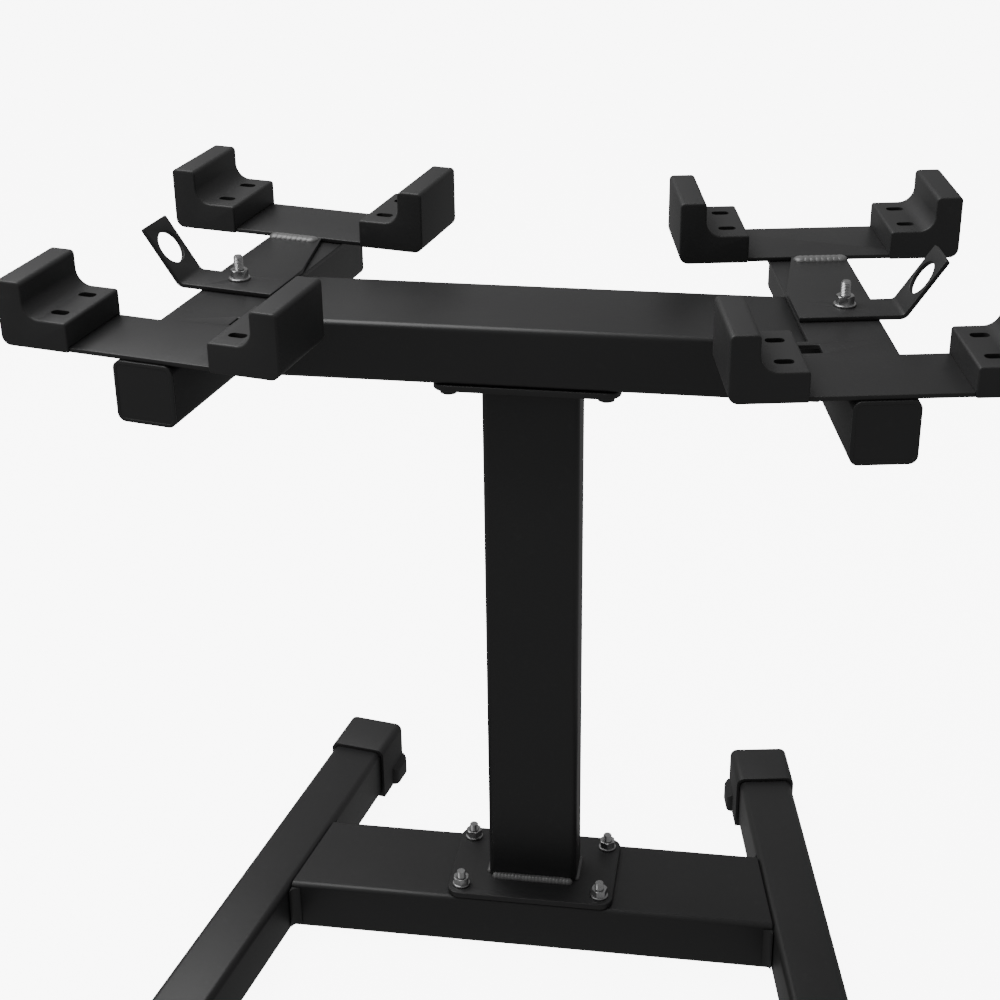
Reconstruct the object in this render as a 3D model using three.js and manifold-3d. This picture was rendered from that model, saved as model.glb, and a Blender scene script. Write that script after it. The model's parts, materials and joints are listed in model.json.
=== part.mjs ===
// A free-standing steel stand that holds a pair of adjustable dumbbells at waist height.
// A low H-shaped base carries a rectangular column and a cross beam. Each end of the beam
// carries a toed-out cradle: a spine tube, a front and a rear cross plate, and four L-shaped
// saddles that locate the dumbbell's tray. Units are millimetres, +Z is up, and the person
// using the stand faces +Y. The origin is on the floor, under the middle of the whole stand.

import * as THREE from "three";
import { mergeVertices } from "three/addons/utils/BufferGeometryUtils.js";
import Module from "manifold-3d";

const wasm = await Module();
wasm.setup();

// ---- driving dimensions ----

const GAP = 0.3; // clearance left between pieces that touch
const WALL = 2.5; // wall of every steel tube

const BAR_DEPTH = 100; // crossbar and beam: the same tube, laid flat
const BAR_HEIGHT = 50;
const BAR_CORNER = 6;

const FOOT_SIZE = 50; // square foot tubes
const FOOT_CORNER = 6;
const FOOT_X = 236; // where a foot's axis crosses the middle of the crossbar
const FOOT_TOE = THREE.MathUtils.degToRad(10);
const FOOT_REAR = 227; // from the crossbar's middle to the end of the rear cap
const FOOT_FRONT = 293;
const CAP_WALL = 3; // foot cap: wall, length and the pad it stands on
const CAP_LENGTH = 54;
const PAD_HEIGHT = 20;
const PAD_OVERHANG = 5;
const PAD_LENGTH = 30;

const COLUMN_WIDTH = 80;
const COLUMN_DEPTH = 40;
const COLUMN_CORNER = 6;
const COLUMN_HEIGHT = 493;
const FLANGE_WIDTH = 150; // plates at both ends of the column
const FLANGE_THICK = 6;
const FLANGE_CORNER = 12;
const FLANGE_BOLT_X = 63;
const FLANGE_BOLT_Y = 36;

const SPINE_WIDTH = 50;
const SPINE_HEIGHT = 50;
const SPINE_CORNER = 7;
const SPINE_X = 244;
const SPINE_TOE = THREE.MathUtils.degToRad(11);
const SPINE_FRONT = 155; // from the beam's middle to the outside of the front end plate
const SPINE_REAR = 200;
const END_PLATE = 2;

const PLATE_THICK = 4; // cross plates and brackets
const PLATE_CORNER = 3;
const FRONT_PLATE_FRONT = -153;
const FRONT_PLATE_REAR = -79;
const PLATE_HALF = 90; // half the length of a cross plate
const CRADLE_OFFSET = 3; // cross plates sit this far outboard of the spine's axis
const REAR_PLATE_FRONT = 126; // front edge of the rear cross plate
const REAR_SEAT_FRONT = 124; // front of the rear saddles
const WAIST_OUTER = 25; // edges of the front plate's tongue along the spine
const WAIST_INNER = -38;
const WAIST_REAR = 190;
const TAB_INNER = -52; // tab of the front plate that laps onto the beam
const TAB_REAR = -50;
const WINDOW = { u: -40, v: -65, width: 18, depth: 16 }; // square hole in that tab

const BRACKET = { front: -12, inner: -38, rearInner: -20, taper: 48 };
const ARM_WIDTH = 37; // arm that is bent up from the bracket
const ARM_LENGTH = 50;
const ARM_FOLD = 40;
const ARM_BEND = 5; // inside radius of the fold
const ARM_ANGLE = THREE.MathUtils.degToRad(56);
const ARM_HOLE = 14; // radius of the round hole
const ARM_HOLE_AT = 26; // from the end of the fold, along the arm

const CLAMP = { u: 2, v: 13, diameter: 8, across: 13, nut: 8, head: 5.3, above: 20 };
const CLAMP_FLANGE = { diameter: 17.9, thick: 1.6 };
const CARRIAGE_TRAVEL = 20; // how far the rear carriage slides back along its spine

const SADDLE_DEPTH = 80;
const SADDLE_TOP = 48.5; // heights above the cross plate
const STEP_TOP = 20;
const SEAT_HALF = 95; // from the cradle's middle to the inside of a saddle's wall
const SADDLE_WALL = 22;
const STEP_REACH = 36; // from the inside of the wall to the free end of the step
const SADDLE_FILLET = 13;
const SADDLE_HEEL = 8; // radius of the outer bottom corner
const SADDLE_EDGE = 2;
const SADDLE_SKIRT = 1.7; // skirts that hang in front of and behind the cross plate
const SLOT = { at: 75, spacing: 40, length: 14, width: 8, ledge: 9, screw: 5.6 };

const FLANGE_BOLT = { diameter: 8, across: 13, nut: 6.5, head: 5.3, washer: 16, washerThick: 1.6 };
const STUD_ABOVE = 6; // thread left standing above a base nut

// ---- levels, from the floor up ----

const FOOT_BOTTOM = CAP_WALL;
const BASE_TOP = FOOT_BOTTOM + BAR_HEIGHT;
const COLUMN_FOOT = BASE_TOP + FLANGE_THICK;
const COLUMN_TOP = COLUMN_FOOT + COLUMN_HEIGHT;
const BEAM_BOTTOM = COLUMN_TOP + FLANGE_THICK;
const BEAM_TOP = BEAM_BOTTOM + BAR_HEIGHT;
const PLATE_TOP = BEAM_TOP + PLATE_THICK;
const CARRIAGE_TOP = PLATE_TOP + PLATE_THICK; // the rear cross plate lies on the front plate's tongue

// ---- materials ----

const finish = (color, roughness, metalness) => () =>
  new THREE.MeshStandardMaterial({ color, roughness, metalness });
const powderCoat = finish(0x2a2a2a, 0.55, 0.3);
const moulded = finish(0x303030, 0.6, 0);
const zinc = finish(0xb8b8ba, 0.3, 1);

// ---- solids ----

function solid(geometry) {
  const bare = (geometry.index ? geometry.toNonIndexed() : geometry).clone();
  bare.deleteAttribute("normal");
  bare.deleteAttribute("uv");
  const merged = mergeVertices(bare, 1e-4);
  return new wasm.Manifold(
    new wasm.Mesh({
      numProp: 3,
      vertProperties: merged.attributes.position.array,
      triVerts: new Uint32Array(merged.index.array),
    }),
  );
}

function geometryOf(manifold) {
  const mesh = manifold.getMesh();
  const geometry = new THREE.BufferGeometry();
  geometry.setAttribute("position", new THREE.BufferAttribute(mesh.vertProperties, 3));
  geometry.setIndex(new THREE.BufferAttribute(mesh.triVerts, 1));
  geometry.computeVertexNormals();
  return geometry;
}

function cut(body, ...tools) {
  return geometryOf(tools.reduce((left, tool) => left.subtract(solid(tool)), solid(body)));
}

function join(body, ...others) {
  return geometryOf(others.reduce((all, other) => all.add(solid(other)), solid(body)));
}

// ---- outlines ----

function roundedRect(width, height, radius, Outline = THREE.Shape) {
  const x = width / 2 - radius;
  const y = height / 2 - radius;
  const outline = new Outline();
  outline.moveTo(x + radius, -y);
  outline.absarc(x, y, radius, 0, Math.PI / 2, false);
  outline.absarc(-x, y, radius, Math.PI / 2, Math.PI, false);
  outline.absarc(-x, -y, radius, Math.PI, Math.PI * 1.5, false);
  outline.absarc(x, -y, radius, Math.PI * 1.5, Math.PI * 2, false);
  return outline;
}

function hexagon(across) {
  const outline = new THREE.Shape();
  for (let corner = 0; corner < 6; corner += 1) {
    const angle = (corner * Math.PI) / 3;
    const radius = across / Math.sqrt(3);
    outline[corner ? "lineTo" : "moveTo"](radius * Math.cos(angle), radius * Math.sin(angle));
  }
  return outline;
}

function polygon(points) {
  const outline = new THREE.Shape();
  points.forEach(([x, y], index) => outline[index ? "lineTo" : "moveTo"](x, y));
  return outline;
}

// A prism on an outline in the XY plane, from z = bottom to z = top.
function slab(outline, bottom, top, curveSegments = 3) {
  const settings = { depth: top - bottom, bevelEnabled: false, curveSegments };
  return new THREE.ExtrudeGeometry(outline, settings).translate(0, 0, bottom);
}

// A prism whose outline stands in the XZ plane, from y = front to y = rear.
function profile(outline, front, rear, curveSegments = 3) {
  const settings = { depth: rear - front, bevelEnabled: false, curveSegments };
  return new THREE.ExtrudeGeometry(outline, settings).rotateX(Math.PI / 2).translate(0, rear, 0);
}

// The same, standing in the YZ plane, from x = left to x = right.
function sideProfile(outline, left, right) {
  return profile(outline, -right, -left).rotateZ(Math.PI / 2);
}

function rod(diameter, bottom, top, segments = 16) {
  const cylinder = new THREE.CylinderGeometry(diameter / 2, diameter / 2, top - bottom, segments);
  return cylinder.rotateX(Math.PI / 2).translate(0, 0, (bottom + top) / 2);
}

function block(x0, x1, y0, y1, z0, z1) {
  const box = new THREE.BoxGeometry(x1 - x0, y1 - y0, z1 - z0);
  return box.translate((x0 + x1) / 2, (y0 + y1) / 2, (z0 + z1) / 2);
}

function tubeOutline(width, height, corner) {
  const outline = roundedRect(width, height, corner);
  const inside = Math.max(corner - WALL, 1);
  outline.holes.push(roundedRect(width - 2 * WALL, height - 2 * WALL, inside, THREE.Path));
  return outline;
}

function named(name, geometry, material) {
  const mesh = new THREE.Mesh(geometry, material());
  mesh.name = name;
  return mesh;
}

// Points that a repeated fastener stands on, at the four corners of a flange.
const flangeCorners = [-1, 1].flatMap((sx) =>
  [-1, 1].map((sy) => ({
    x: sx * FLANGE_BOLT_X,
    y: sy * FLANGE_BOLT_Y,
    name: `${sy < 0 ? "front" : "rear"}_${sx < 0 ? "left" : "right"}`,
  })),
);

const flangeHoles = (bottom, top) =>
  flangeCorners.map(({ x, y }) => rod(FLANGE_BOLT.diameter + 1, bottom, top).translate(x, y, 0));

// A tube that runs left to right and whose ends are mitred against two toed-out members.
function mitredBar(bottom, memberX, memberWidth, toe, ...holes) {
  const reach = memberX + 20;
  const bar = sideProfile(tubeOutline(BAR_DEPTH, BAR_HEIGHT, BAR_CORNER), -reach, reach);
  bar.translate(0, 0, bottom + BAR_HEIGHT / 2);
  const mitres = [-1, 1].map((side) => {
    const tool = block(-memberWidth / 2 - GAP, 200, -150, 150, bottom - 10, bottom + BAR_HEIGHT + 10);
    if (side < 0) tool.rotateZ(Math.PI);
    return tool.rotateZ(side * toe).translate(side * memberX, 0, 0);
  });
  return cut(bar, ...mitres, ...holes);
}

// ---- base ----

function crossbar() {
  const holes = flangeHoles(BASE_TOP - 10, BASE_TOP + 10);
  return mitredBar(FOOT_BOTTOM, FOOT_X, FOOT_SIZE, FOOT_TOE, ...holes);
}

function footTube() {
  const outline = tubeOutline(FOOT_SIZE, FOOT_SIZE, FOOT_CORNER);
  const end = CAP_WALL + GAP;
  const tube = profile(outline, -FOOT_FRONT + end, FOOT_REAR - end);
  return tube.translate(0, 0, FOOT_BOTTOM + FOOT_SIZE / 2);
}

// A moulded sleeve over the end of a foot, with a flared pad under its closed end. It is made
// with its closed end at y = 0 and its mouth towards -Y.
function footCap() {
  const outer = FOOT_SIZE + 2 * CAP_WALL;
  const middle = outer / 2;
  const sleeve = profile(roundedRect(outer, outer, FOOT_CORNER + 2), -CAP_LENGTH, 0);
  const bore = profile(
    roundedRect(FOOT_SIZE + 2 * GAP, FOOT_SIZE + 2 * GAP, FOOT_CORNER + GAP),
    -CAP_LENGTH - 5,
    -CAP_WALL,
  );
  const pad = slab(roundedRect(outer + 2 * PAD_OVERHANG, PAD_LENGTH, 8), 0, PAD_HEIGHT);
  pad.translate(0, -PAD_LENGTH / 2, 0);
  sleeve.translate(0, 0, middle);
  bore.translate(0, 0, middle);
  return cut(join(sleeve, pad), bore);
}

// ---- column ----

function flange(bottom) {
  const outline = roundedRect(FLANGE_WIDTH, BAR_DEPTH, FLANGE_CORNER);
  const plate = slab(outline, bottom + GAP, bottom + FLANGE_THICK - GAP);
  return cut(plate, ...flangeHoles(bottom - 5, bottom + FLANGE_THICK + 5));
}

function column() {
  const outline = tubeOutline(COLUMN_WIDTH, COLUMN_DEPTH, COLUMN_CORNER);
  return slab(outline, COLUMN_FOOT, COLUMN_TOP);
}

function baseStud() {
  const underside = BASE_TOP - WALL - GAP;
  const top = COLUMN_FOOT + FLANGE_BOLT.washerThick + FLANGE_BOLT.nut + STUD_ABOVE;
  const head = slab(hexagon(FLANGE_BOLT.across), underside - FLANGE_BOLT.head, underside);
  return join(head, rod(FLANGE_BOLT.diameter, underside - 2, top));
}

function baseNut() {
  const foot = COLUMN_FOOT;
  const shoulder = foot + FLANGE_BOLT.washerThick;
  const skirt = rod(FLANGE_BOLT.washer, foot, shoulder, 20);
  const body = slab(hexagon(FLANGE_BOLT.across), foot, shoulder + FLANGE_BOLT.nut);
  return cut(join(skirt, body), rod(FLANGE_BOLT.diameter + 2 * GAP, foot - 5, shoulder + 20));
}

function beamBolt() {
  const seat = COLUMN_TOP;
  const head = slab(hexagon(FLANGE_BOLT.across), seat - FLANGE_BOLT.head, seat);
  const washer = rod(FLANGE_BOLT.washer, seat - FLANGE_BOLT.washerThick, seat, 20);
  return join(head, washer, rod(FLANGE_BOLT.diameter, seat - 2, BEAM_BOTTOM + WALL + 8));
}

function beam() {
  const holes = flangeHoles(BEAM_BOTTOM - 10, BEAM_BOTTOM + 10);
  return mitredBar(BEAM_BOTTOM, SPINE_X, SPINE_WIDTH, SPINE_TOE, ...holes);
}

// ---- cradle, in its own frame: x outwards from the spine's axis, y to the rear ----

// The slot that the clamp bolt slides along, through the tongue and the spine's top wall.
function clampSlot() {
  const width = CLAMP.diameter + 1;
  const outline = roundedRect(width, width + CARRIAGE_TRAVEL, width / 2 - 0.1);
  const slot = slab(outline, BEAM_TOP - 10, BEAM_TOP + 10);
  return slot.translate(CLAMP.u, CLAMP.v + CARRIAGE_TRAVEL / 2, 0);
}

function spine() {
  const outline = tubeOutline(SPINE_WIDTH, SPINE_HEIGHT, SPINE_CORNER);
  const end = END_PLATE + GAP;
  const tube = profile(outline, -SPINE_FRONT + end, SPINE_REAR - end);
  tube.translate(0, 0, BEAM_BOTTOM + SPINE_HEIGHT / 2);
  return cut(tube, clampSlot());
}

function spineEndPlate(front) {
  const plate = profile(roundedRect(SPINE_WIDTH, SPINE_HEIGHT, SPINE_CORNER), front, front + END_PLATE);
  return plate.translate(0, 0, BEAM_BOTTOM + SPINE_HEIGHT / 2);
}

const screwPoints = (seatFront) =>
  [-1, 1].flatMap((side) =>
    [-1, 1].map((end) => ({
      u: CRADLE_OFFSET + side * SLOT.at,
      v: seatFront + SADDLE_DEPTH / 2 + (end * SLOT.spacing) / 2,
    })),
  );

const screwHoles = (seatFront) =>
  screwPoints(seatFront).map(({ u, v }) =>
    rod(SLOT.screw, BEAM_TOP - 5, CARRIAGE_TOP + 5, 10).translate(u, v, 0),
  );

// Front cross plate with a tongue along the spine and a tab that laps onto the beam.
function frontPlate() {
  const front = FRONT_PLATE_FRONT;
  const back = FRONT_PLATE_REAR;
  const outline = polygon([
    [CRADLE_OFFSET - PLATE_HALF, front],
    [CRADLE_OFFSET + PLATE_HALF, front],
    [CRADLE_OFFSET + PLATE_HALF, back],
    [WAIST_OUTER, back],
    [WAIST_OUTER, WAIST_REAR],
    [WAIST_INNER, WAIST_REAR],
    [WAIST_INNER, TAB_REAR],
    [TAB_INNER, TAB_REAR],
    [TAB_INNER, back],
    [CRADLE_OFFSET - PLATE_HALF, back],
  ]);
  const half = { u: WINDOW.width / 2, v: WINDOW.depth / 2 };
  const window = block(
    WINDOW.u - half.u,
    WINDOW.u + half.u,
    WINDOW.v - half.v,
    WINDOW.v + half.v,
    BEAM_TOP - 5,
    PLATE_TOP + 5,
  );
  return cut(slab(outline, BEAM_TOP + GAP, PLATE_TOP), window, clampSlot(), ...screwHoles(-SPINE_FRONT));
}

function rearPlate() {
  const depth = SPINE_REAR - REAR_PLATE_FRONT;
  const outline = roundedRect(2 * PLATE_HALF, depth, PLATE_CORNER);
  const plate = slab(outline, PLATE_TOP + GAP, CARRIAGE_TOP, 2);
  plate.translate(CRADLE_OFFSET, REAR_PLATE_FRONT + depth / 2, 0);
  return cut(plate, ...screwHoles(REAR_SEAT_FRONT));
}

// Side view of the arm: level, then folded up through ARM_ANGLE, then straight.
function armOutline(thick) {
  const centre = thick + ARM_BEND;
  const start = -Math.PI / 2;
  const end = start + ARM_ANGLE;
  const outline = new THREE.Shape();
  outline.moveTo(WAIST_OUTER - 5, 0);
  outline.lineTo(ARM_FOLD, 0);
  outline.absarc(ARM_FOLD, centre, centre, start, end, false);
  const [dx, dz] = [ARM_LENGTH * Math.cos(ARM_ANGLE), ARM_LENGTH * Math.sin(ARM_ANGLE)];
  const outside = [ARM_FOLD + centre * Math.cos(end), centre + centre * Math.sin(end)];
  const inside = [ARM_FOLD + ARM_BEND * Math.cos(end), centre + ARM_BEND * Math.sin(end)];
  outline.lineTo(outside[0] + dx, outside[1] + dz);
  outline.lineTo(inside[0] + dx, inside[1] + dz);
  outline.lineTo(inside[0], inside[1]);
  outline.absarc(ARM_FOLD, centre, ARM_BEND, end, start, true);
  outline.lineTo(WAIST_OUTER - 5, thick);
  return outline;
}

function bracket() {
  const thick = PLATE_THICK - GAP;
  const bottom = PLATE_TOP + GAP;
  const rear = REAR_PLATE_FRONT - GAP;
  const sheet = slab(
    polygon([
      [BRACKET.inner, BRACKET.front],
      [WAIST_OUTER, BRACKET.front],
      [WAIST_OUTER, rear],
      [BRACKET.rearInner, rear],
      [BRACKET.inner, BRACKET.taper],
    ]),
    bottom,
    bottom + thick,
  );
  const arm = profile(armOutline(thick), BRACKET.front, BRACKET.front + ARM_WIDTH, 6);
  arm.translate(0, 0, bottom);
  const end = -Math.PI / 2 + ARM_ANGLE;
  const middle = ARM_BEND + thick / 2;
  const hole = rod(2 * ARM_HOLE, -20, 20, 28).rotateY(-ARM_ANGLE);
  hole.translate(
    ARM_FOLD + middle * Math.cos(end) + ARM_HOLE_AT * Math.cos(ARM_ANGLE),
    BRACKET.front + ARM_WIDTH / 2,
    bottom + thick + ARM_BEND + middle * Math.sin(end) + ARM_HOLE_AT * Math.sin(ARM_ANGLE),
  );
  const boltHole = rod(CLAMP.diameter + 1, bottom - 5, bottom + 15).translate(CLAMP.u, CLAMP.v, 0);
  return cut(join(sheet, arm), hole, boltHole);
}

function clampBolt() {
  const underside = BEAM_TOP - WALL - GAP;
  const head = slab(hexagon(CLAMP.across), underside - CLAMP.head, underside);
  const shank = rod(CLAMP.diameter, underside - 2, CARRIAGE_TOP + CLAMP.above);
  return join(head, shank).translate(CLAMP.u, CLAMP.v, 0);
}

// The nut is made round the bolt's axis and then put over the bolt.
function clampNut() {
  const bottom = CARRIAGE_TOP + GAP;
  const skirt = rod(CLAMP_FLANGE.diameter, bottom, bottom + CLAMP_FLANGE.thick, 20);
  const body = join(skirt, slab(hexagon(CLAMP.across), bottom, bottom + CLAMP.nut));
  const bore = rod(CLAMP.diameter + 2 * GAP, bottom - 5, bottom + CLAMP.nut + 5);
  return cut(body, bore).translate(CLAMP.u, CLAMP.v, 0);
}

// An outer saddle, by its section across the cradle. It wraps the end of the plate.
function saddleOutline() {
  const wall = SEAT_HALF;
  const outside = wall + SADDLE_WALL;
  const inner = wall - STEP_REACH;
  const heel = -PLATE_THICK;
  const outline = new THREE.Shape();
  outline.moveTo(inner, heel);
  outline.lineTo(outside - SADDLE_HEEL, heel);
  outline.absarc(outside - SADDLE_HEEL, heel + SADDLE_HEEL, SADDLE_HEEL, -Math.PI / 2, 0, false);
  outline.absarc(outside - SADDLE_EDGE, SADDLE_TOP - SADDLE_EDGE, SADDLE_EDGE, 0, Math.PI / 2, false);
  outline.absarc(wall + SADDLE_EDGE, SADDLE_TOP - SADDLE_EDGE, SADDLE_EDGE, Math.PI / 2, Math.PI, false);
  outline.absarc(wall - SADDLE_FILLET, STEP_TOP + SADDLE_FILLET, SADDLE_FILLET, 0, -Math.PI / 2, true);
  outline.absarc(inner + SADDLE_EDGE, STEP_TOP - SADDLE_EDGE, SADDLE_EDGE, Math.PI / 2, Math.PI, false);
  return outline;
}

function saddle(side, front, level) {
  const body = profile(saddleOutline(), front, front + SADDLE_DEPTH);
  const pocket = block(
    SEAT_HALF - STEP_REACH - 1,
    SEAT_HALF,
    front + SADDLE_SKIRT,
    front + SADDLE_DEPTH - SADDLE_SKIRT,
    -PLATE_THICK - 1,
    GAP,
  );
  const slots = [-1, 1].flatMap((end) => {
    const v = front + SADDLE_DEPTH / 2 + (end * SLOT.spacing) / 2;
    const wide = slab(roundedRect(SLOT.length, SLOT.width, 2), SLOT.ledge, STEP_TOP + 5, 2);
    const narrow = slab(roundedRect(SLOT.length - 2, SLOT.screw, 1.5), -5, SLOT.ledge + 2, 2);
    return [wide.translate(SLOT.at, v, 0), narrow.translate(SLOT.at, v, 0)];
  });
  const made = cut(body, pocket, ...slots).translate(0, 0, level);
  const placed = side > 0 ? made : made.translate(0, -2 * front - SADDLE_DEPTH, 0).rotateZ(Math.PI);
  return placed.translate(CRADLE_OFFSET, 0, 0);
}

function cradle(hand) {
  const frame = new THREE.Group();
  frame.rotation.z = SPINE_TOE;
  frame.position.x = SPINE_X;
  const add = (name, geometry, material) => frame.add(named(`${hand}_${name}`, geometry, material));
  add("spine_tube", spine(), powderCoat);
  add("spine_front_end_plate", spineEndPlate(-SPINE_FRONT), powderCoat);
  add("spine_rear_end_plate", spineEndPlate(SPINE_REAR - END_PLATE), powderCoat);
  add("front_cross_plate", frontPlate(), powderCoat);
  add("rear_cross_plate", rearPlate(), powderCoat);
  add("side_bracket", bracket(), powderCoat);
  add("clamp_bolt", clampBolt(), zinc);
  add("clamp_nut", clampNut(), zinc);
  for (const [end, front, level] of [
    ["front", -SPINE_FRONT, PLATE_TOP],
    ["rear", REAR_SEAT_FRONT, CARRIAGE_TOP],
  ]) {
    add(`${end}_inner_saddle`, saddle(-1, front, level), moulded);
    add(`${end}_outer_saddle`, saddle(1, front, level), moulded);
  }
  return frame;
}

function foot(hand) {
  const frame = new THREE.Group();
  frame.rotation.z = FOOT_TOE;
  frame.position.x = FOOT_X;
  frame.add(named(`${hand}_foot_tube`, footTube(), powderCoat));
  const rear = footCap().translate(0, FOOT_REAR, 0);
  const front = footCap().rotateZ(Math.PI).translate(0, -FOOT_FRONT, 0);
  frame.add(named(`${hand}_foot_rear_cap`, rear, moulded));
  frame.add(named(`${hand}_foot_front_cap`, front, moulded));
  return frame;
}

// ---- the stand ----

const stand = new THREE.Group();
// The feet reach further to the front than to the rear, so the column stands behind the origin.
stand.position.y = ((FOOT_FRONT - FOOT_REAR) * Math.cos(FOOT_TOE)) / 2;

stand.add(named("base_crossbar", crossbar(), powderCoat));
stand.add(named("column", column(), powderCoat));
stand.add(named("column_base_flange", flange(BASE_TOP), powderCoat));
stand.add(named("column_top_flange", flange(COLUMN_TOP), powderCoat));
stand.add(named("beam", beam(), powderCoat));

for (const { x, y, name } of flangeCorners) {
  stand.add(named(`base_stud_${name}`, baseStud().translate(x, y, 0), zinc));
  stand.add(named(`base_nut_${name}`, baseNut().translate(x, y, 0), zinc));
  stand.add(named(`beam_bolt_${name}`, beamBolt().translate(x, y, 0), powderCoat));
}

for (const [hand, side] of [["left", -1], ["right", 1]]) {
  const half = new THREE.Group();
  half.scale.x = side;
  half.add(foot(hand), cradle(hand));
  stand.add(half);
}

export default stand;
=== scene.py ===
"""A black steel stand for a pair of adjustable dumbbells.

It has splayed feet, a column, a cross beam and two cradles with saddles.
Modelling lengths are in millimetres. Places from the frame, the lights and the camera are in metres.
"""

import json
import math

import bpy
from mathutils import Matrix, Vector


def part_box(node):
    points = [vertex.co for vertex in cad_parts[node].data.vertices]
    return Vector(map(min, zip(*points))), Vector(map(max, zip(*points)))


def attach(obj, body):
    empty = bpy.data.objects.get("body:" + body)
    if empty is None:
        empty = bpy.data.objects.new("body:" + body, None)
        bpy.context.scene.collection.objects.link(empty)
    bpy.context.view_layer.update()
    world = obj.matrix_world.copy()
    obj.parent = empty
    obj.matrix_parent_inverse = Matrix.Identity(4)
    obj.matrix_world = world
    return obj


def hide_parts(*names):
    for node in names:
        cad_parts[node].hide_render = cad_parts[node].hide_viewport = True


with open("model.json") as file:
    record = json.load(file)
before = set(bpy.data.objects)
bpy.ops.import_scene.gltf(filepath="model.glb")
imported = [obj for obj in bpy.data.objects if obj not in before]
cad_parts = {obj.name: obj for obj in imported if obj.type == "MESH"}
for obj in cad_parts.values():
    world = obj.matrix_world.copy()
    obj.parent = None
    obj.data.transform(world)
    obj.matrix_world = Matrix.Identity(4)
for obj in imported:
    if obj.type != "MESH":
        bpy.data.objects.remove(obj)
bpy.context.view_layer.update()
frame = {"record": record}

MM = 0.001
Z = Vector((0, 0, 1))
HANDS = ("right", "left")

# ---- where things are ----

joints = {joint["name"]: joint for joint in frame["record"]["behaviour"]["joints"]}
mounts = {mount["name"]: Vector(mount["pos_m"]) for mount in frame["record"]["mounts"]}


def low(node):
    return Vector(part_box(node)[0])


def high(node):
    return Vector(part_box(node)[1])


def middle(node):
    return (low(node) + high(node)) / 2


def axes(origin, y_axis):
    """A level frame at a point, with its Y along the given direction."""
    y_axis = y_axis.normalized()
    x_axis = y_axis.cross(Z)
    return Matrix.Translation(origin) @ Matrix((x_axis, y_axis, Z)).transposed().to_4x4()


BASE_TOP = high("base_crossbar").z
COLUMN_FOOT = low("column").z
COLUMN_TOP = high("column").z
BEAM_TOP = high("beam").z
PLATE_TOP = high("right_front_cross_plate").z
CARRIAGE_TOP = high("right_rear_cross_plate").z
MIDDLE_Y = middle("column").y

# The right cradle: X outwards, Y to the rear, from where the spine crosses the beam's middle.
CLAMP_U, CLAMP_V = 2, 13
SPINE_AXIS = Vector(joints["right_carriage_slide"]["axis"])
CLAMP_POINT = Vector(joints["right_clamp_nut_turn"]["pos_m"])
CLAMP_POINT.z = 0
CRADLE = axes(CLAMP_POINT, SPINE_AXIS) @ Matrix.Translation((-CLAMP_U * MM, -CLAMP_V * MM, 0))
CRADLE_X = 3  # the cross plates' middle, outboard of the spine's axis

# The right foot: Y from the front pad to the rear pad.
FOOT = axes(mounts["floor_right_front"], mounts["floor_right_rear"] - mounts["floor_right_front"])
PAD_SPAN = (mounts["floor_right_rear"] - mounts["floor_right_front"]).length / MM
PAD_INSET = 17
FOOT_FRONT, FOOT_REAR = -PAD_INSET, PAD_SPAN + PAD_INSET

# Sections that several pieces share.
GAP = 0.3
TUBE_HALF = 25
TUBE_WALL = 2.5
CAP_WALL = 3
THREAD, THREAD_PITCH, HEX_ACROSS, HEAD_HEIGHT = 8, 1.25, 13, 5.3
NUT_BORE, WASHER, WASHER_THICK = 8.5, 16, 1.6

# ---- shaders ----


class Value:
    """A node's output that takes part in arithmetic."""

    def __init__(self, shader, output):
        self.shader = shader
        self.output = output

    def __add__(self, other):
        return self.shader.math("ADD", self, other)

    def __sub__(self, other):
        return self.shader.math("SUBTRACT", self, other)

    def __mul__(self, other):
        return self.shader.math("MULTIPLY", self, other)

    def above(self, threshold, softness):
        rise = (self - (threshold - softness)) * (0.5 / softness)
        return self.shader.math("MINIMUM", self.shader.math("MAXIMUM", rise, 0.0), 1.0)


class Shader:
    """A material on one Principled shader."""

    def __init__(self, name, metallic=0.0, coat=0.0):
        self.material = bpy.data.materials.new(name)
        self.material.use_nodes = True
        self.tree = self.material.node_tree
        self.surface = self.tree.nodes["Principled BSDF"]
        self.surface.inputs["Metallic"].default_value = metallic
        self.surface.inputs["Coat Weight"].default_value = coat
        self.place = self.node("ShaderNodeTexCoord", "Object")

    def node(self, kind, output, inputs=(), **settings):
        made = self.tree.nodes.new(kind)
        for key, setting in settings.items():
            setattr(made, key, setting)
        for key, value in dict(inputs).items():
            self.feed(made.inputs[key], value)
        return Value(self, made.outputs[output])

    def feed(self, socket, value):
        if isinstance(value, Value):
            self.tree.links.new(value.output, socket)
        else:
            socket.default_value = value

    def math(self, operation, left, right):
        return self.node("ShaderNodeMath", 0, {0: left, 1: right}, operation=operation)

    def noise(self, size, detail=3.0, stretch=(1, 1, 1)):
        """Noise with features of about the given size in millimetres, from 0 to 1."""
        place = self.node("ShaderNodeVectorMath", 0, {0: self.place, 1: stretch}, operation="MULTIPLY")
        inputs = {"Vector": place, "Scale": 1000.0 / size, "Detail": detail}
        return self.node("ShaderNodeTexNoise", "Fac", inputs)

    def blend(self, amount, first, second):
        made = self.tree.nodes.new("ShaderNodeMix")
        made.data_type = "RGBA"
        colour = [socket for socket in made.inputs if socket.type == "RGBA"]
        self.feed(made.inputs["Factor"], amount)
        self.feed(colour[0], (*first, 1))
        self.feed(colour[1], (*second, 1))
        return Value(self, next(out for out in made.outputs if out.type == "RGBA"))

    def wear(self, colour, roughness):
        self.feed(self.surface.inputs["Base Color"], colour)
        self.feed(self.surface.inputs["Roughness"], roughness)
        return self

    def bump(self, height, depth, strength=1.0):
        inputs = {"Height": height, "Distance": depth * MM, "Strength": strength}
        self.feed(self.surface.inputs["Normal"], self.node("ShaderNodeBump", "Normal", inputs))
        return self


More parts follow.
